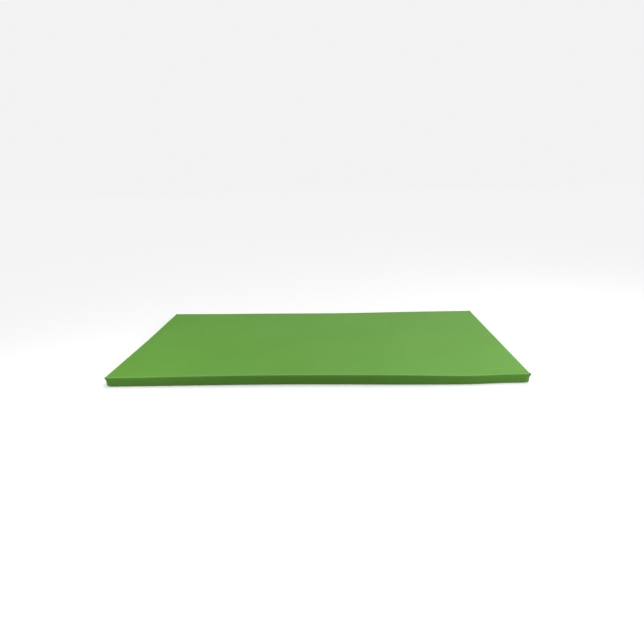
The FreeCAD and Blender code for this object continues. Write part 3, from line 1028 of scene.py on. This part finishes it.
def square_runs(x0, x1, z0, z1, crossed):
    """The ends of the runs of a square of stitches, and of the cross in it, as pairs of x, z."""
    square = [(x0, z0), (x1, z0), (x1, z1), (x0, z1)]
    runs = list(zip(square, square[1:] + square[:1]))
    return runs + [(square[0], square[2]), (square[1], square[3])] if crossed else runs


def back_rows(runs, y):
    """Rows of stitches on a face at y that looks to the back."""
    return [stitch_row((xa, y, za), (xb, y, zb), (0, 1, 0)) for (xa, za), (xb, zb) in runs]


web = webbing()
strap_thread = thread("strap_thread", (0.073, 0.178, 0.040))
for side_name, body_name in (("left", "left_strap"), ("right", "right_strap")):
    low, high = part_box(side_name + "_strap_sewn_ends")
    strap_middle = (low.x + high.x) / 2
    half_strap_width = (high.z - low.z) / 2
    hinge = [j for j in frame["joints"] if j["child"] == body_name][0]["pos_m"]
    line = strap_line(hinge, low.y + strap_thickness / 2)
    half_strap = np.interp(high.x - strap_middle, line[2], line[0])
    along_strap = bent_strap(line, strap_middle, hinge)

    # The webbing, in two halves, one on each side of the loop's middle.
    for half_name, first, last in (("a", -half_strap, 0.0), ("b", 0.0, half_strap)):
        piece = block(
            f"{side_name}_strap_webbing_{half_name}",
            (first, -strap_thickness / 2, -half_strap_width),
            (last, strap_thickness / 2, half_strap_width),
        )
        bpy.ops.mesh.bevel(offset=strap_edge, segments=2, affect="EDGES")
        cut_across(0, first, last, 66)
        cut_across(2, -half_strap_width, half_strap_width, 6)
        bpy.ops.object.mode_set(mode="OBJECT")
        flat = piece.data.uv_layers.new(name="strap")
        for loop in piece.data.loops:
            co = piece.data.vertices[loop.vertex_index].co
            flat.data[loop.index].uv = (co.x + 1, co.z + co.y + 1)
        moved(piece, along_strap)
        moved(piece, as_made)
        bpy.ops.object.shade_smooth_by_angle(angle=math.radians(40))
        piece.data.materials.append(web)
        side = math.copysign(1, first + last)
        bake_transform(piece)
        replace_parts(piece, side_name + "_strap_loop", side_name + "_strap_sewn_ends")

    # The sleeve, a flat tube of cover fabric slipped over the strap.
    sleeve_half = (sleeve_half_length, sleeve_half_depth, half_strap_width + sleeve_ease)
    piece = block(side_name + "_strap_sleeve", [-c for c in sleeve_half], sleeve_half)
    bpy.ops.mesh.select_mode(type="FACE")
    bpy.ops.object.mode_set(mode="OBJECT")
    select_faces(piece, lambda centre, normal: abs(normal.x) > 0.9)
    bpy.ops.object.mode_set(mode="EDIT")
    bpy.ops.mesh.delete(type="FACE")
    bpy.ops.mesh.select_mode(type="VERT")
    bpy.ops.mesh.edges_select_sharp(sharpness=math.radians(60))
    bpy.ops.mesh.bevel(offset=sleeve_fold, segments=3, affect="EDGES")
    cut_across(0, -sleeve_half[0], sleeve_half[0], 40)
    cut_across(2, -sleeve_half[2], sleeve_half[2], 6)
    bpy.ops.object.mode_set(mode="OBJECT")
    for shape in (gathered, along_strap, as_made):
        moved(piece, shape)
    bpy.ops.object.shade_smooth()
    thickened(piece, sleeve_wall)
    piece.data.materials.append(vinyl)
    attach(piece, body_name)
    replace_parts(piece, side_name + "_strap_grip")

    # The patch behind the sewn ends.
    low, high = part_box(side_name + "_strap_patch")
    piece = block(side_name + "_strap_backing", low, high)
    round_corners(piece, 1, patch_corner, 5)
    cut_across(0, low.x, high.x, 20)
    cut_across(2, low.z, high.z, 6)
    bpy.ops.object.mode_set(mode="OBJECT")
    moved(piece, as_made)
    bpy.ops.object.shade_smooth_by_angle(angle=math.radians(40))
    piece.data.materials.append(vinyl)
    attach(piece, "mat")
    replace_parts(piece, side_name + "_strap_patch")

    # Thread: a square with a cross on each sewn end, and a row round the patch.
    box_low, box_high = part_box("strap_box_stitching")
    far = box_high.x - abs(strap_middle)
    rows = []
    for side in (-1, 1):
        x0, x1 = sorted((strap_middle + side * (far - box_run), strap_middle + side * far))
        box_runs = square_runs(x0, x1, box_low.z, box_high.z, crossed=True)
        rows += back_rows(box_runs, box_low.y)
    boxes = sewn_rows(side_name + "_strap_box_thread", rows, strap_thread)
    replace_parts(boxes, "strap_box_stitching")
    x0, x1 = low.x + patch_row_inset, high.x - patch_row_inset
    z0, z1 = low.z + patch_row_inset, high.z - patch_row_inset
    rows = back_rows(square_runs(x0, x1, z0, z1, crossed=False), high.y)
    sewn_rows(side_name + "_strap_patch_thread", rows, green_thread)
